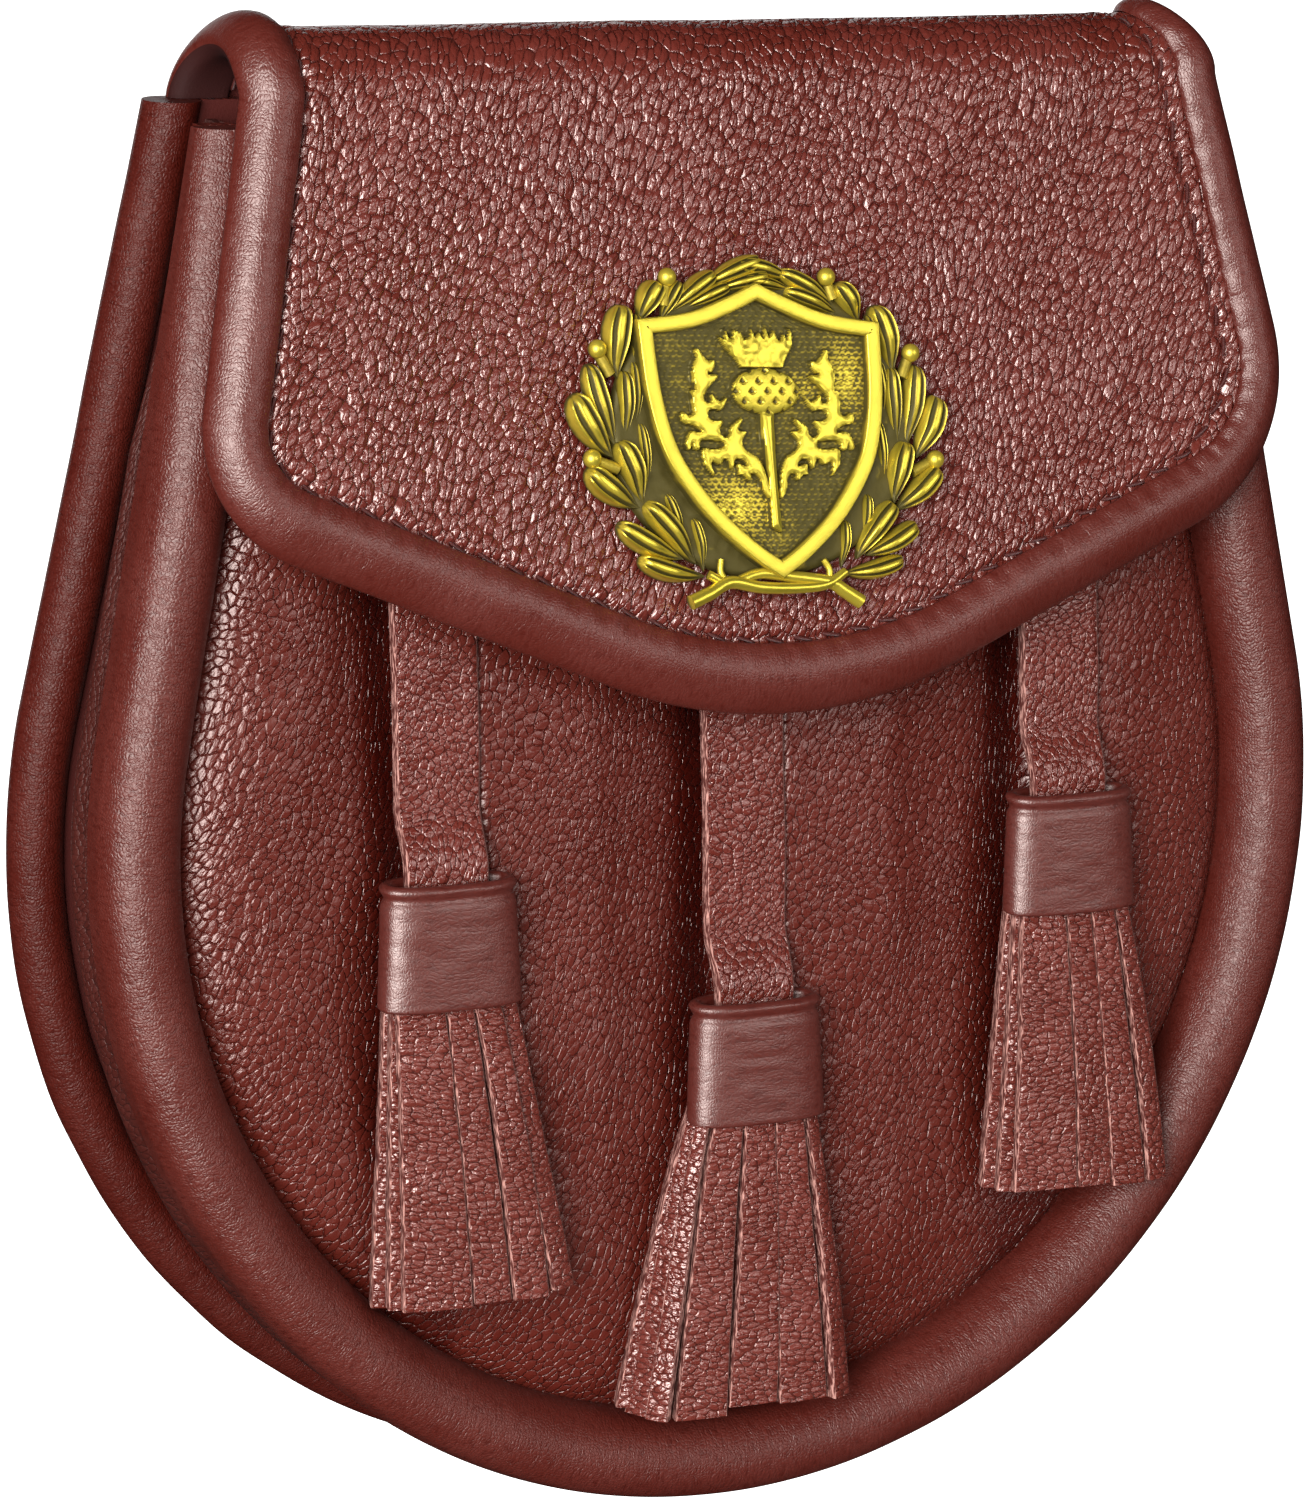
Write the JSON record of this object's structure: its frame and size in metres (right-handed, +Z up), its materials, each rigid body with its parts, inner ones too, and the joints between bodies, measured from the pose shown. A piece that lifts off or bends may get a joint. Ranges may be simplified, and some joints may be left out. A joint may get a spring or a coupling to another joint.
{
  "type": "leather day sporran pouch with cast badge",
  "caption": "Round-bottomed hollow leather belt pouch with gusset, piped edges, leaning flap over the top, strap tassels and a cast brass thistle badge.",
  "frame": {"origin": "on the back panel's outer face, at the middle height of the two belt loops and midway between them, where the belt passes", "axes": "+Z up as worn, -Y out of the pouch's front, +X to the right of someone who looks at the front"},
  "size_m": [0.1905, 0.0491, 0.2031],
  "materials": {
    "grained_leather": "pebbled burgundy leather, semi-matt with small glints",
    "smooth_leather": "smooth rolled burgundy leather, soft satin sheen",
    "brass": "antique cast brass, polished high spots over dark recesses"
  },
  "bodies": {
    "root": {"back_panel": "grained_leather", "back_piping": "smooth_leather", "gusset": "grained_leather", "front_panel": "grained_leather", "front_piping": "smooth_leather", "flap": "grained_leather", "flap_binding": "smooth_leather", "snap_stud": "brass", "badge": "brass", "strap_left": "grained_leather", "collar_left": "smooth_leather", "fringe_left": "grained_leather", "strap_centre": "grained_leather", "collar_centre": "smooth_leather", "fringe_centre": "grained_leather", "strap_right": "grained_leather", "collar_right": "smooth_leather", "fringe_right": "grained_leather", "belt_loop_left": "grained_leather", "belt_loop_right": "grained_leather"}
  },
  "joints": []
}
